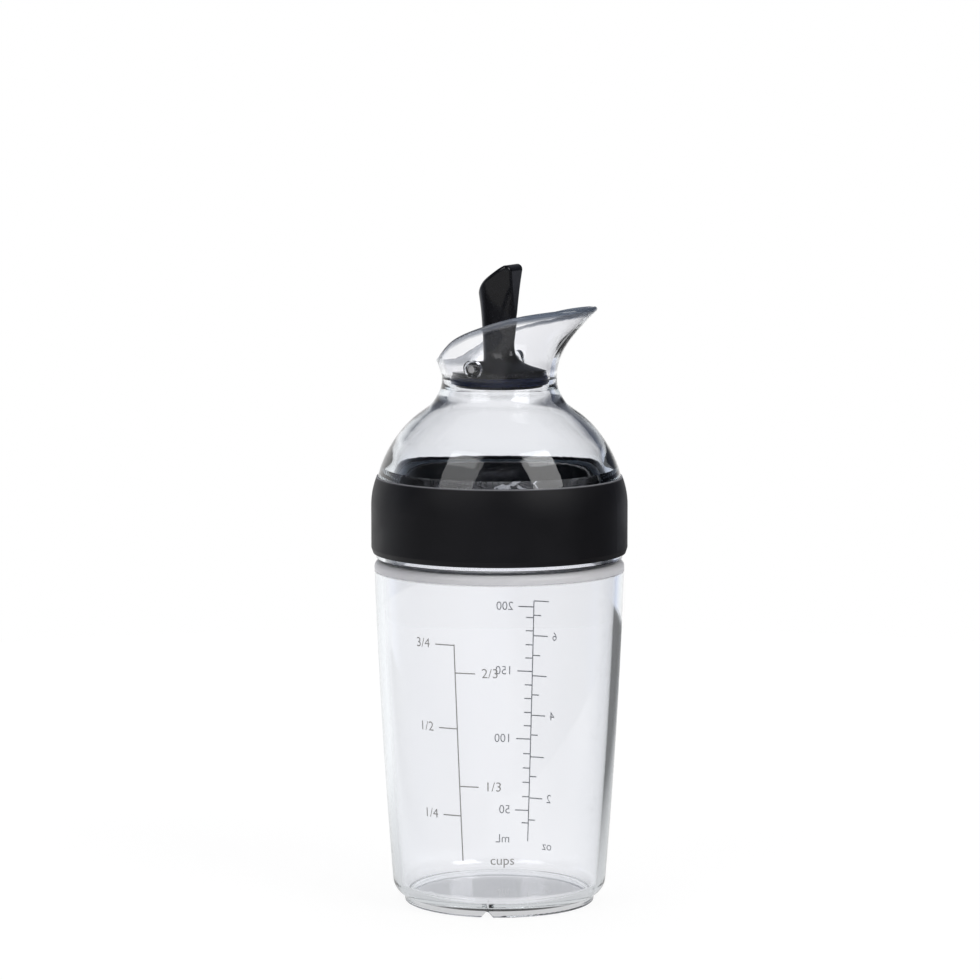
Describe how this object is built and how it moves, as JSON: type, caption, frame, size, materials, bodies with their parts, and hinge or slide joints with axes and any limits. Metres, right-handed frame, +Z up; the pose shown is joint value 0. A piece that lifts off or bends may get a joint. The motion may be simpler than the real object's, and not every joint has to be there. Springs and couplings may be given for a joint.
{
  "type": "dressing shaker bottle",
  "caption": "Clear tapered shaker cup with a screw-on domed lid, soft grip band, flared pouring spout and a flip-up lever stopper.",
  "frame": {"origin": "centre of the foot ring, on the surface that the cup stands on", "axes": "+Z up along the cup's axis, +X towards the tip of the pouring spout, the hinge pin lies along Y"},
  "size_m": [0.0692, 0.0692, 0.173],
  "materials": {
    "clear_cup": "clear polished",
    "clear_lid": "clear polished",
    "grip": "soft matte",
    "gasket": "satin",
    "lever": "gloss",
    "seal": "satin",
    "pin": "satin"
  },
  "bodies": {
    "cup": {"cup": "clear_cup"},
    "gasket": {"lid_gasket": "gasket"},
    "lid": {"lid_shell": "clear_lid", "grip_band": "grip", "hinge_pin": "pin"},
    "lever": {"lever": "lever", "stopper_seal": "seal"}
  },
  "joints": [
    {"name": "lid_lift", "type": "slide", "parent": "cup", "child": "gasket", "axis": [0, 0, 1], "range_m": [0, 0.0211]},
    {"name": "lid_turn", "type": "hinge", "parent": "gasket", "child": "lid", "pos_m": [0, 0, 0.0932], "axis": [0, 0, 1], "range_deg": [0, 540]},
    {"name": "lever_tilt", "type": "hinge", "parent": "lid", "child": "lever", "pos_m": [-0.0012, 0, 0.1459], "axis": [0, -1, 0], "range_deg": [0, 60]}
  ],
  "couplings": [
    {"joint": "lid_lift", "follows": "lid_turn", "m_per_rad": 0.0022282}
  ]
}
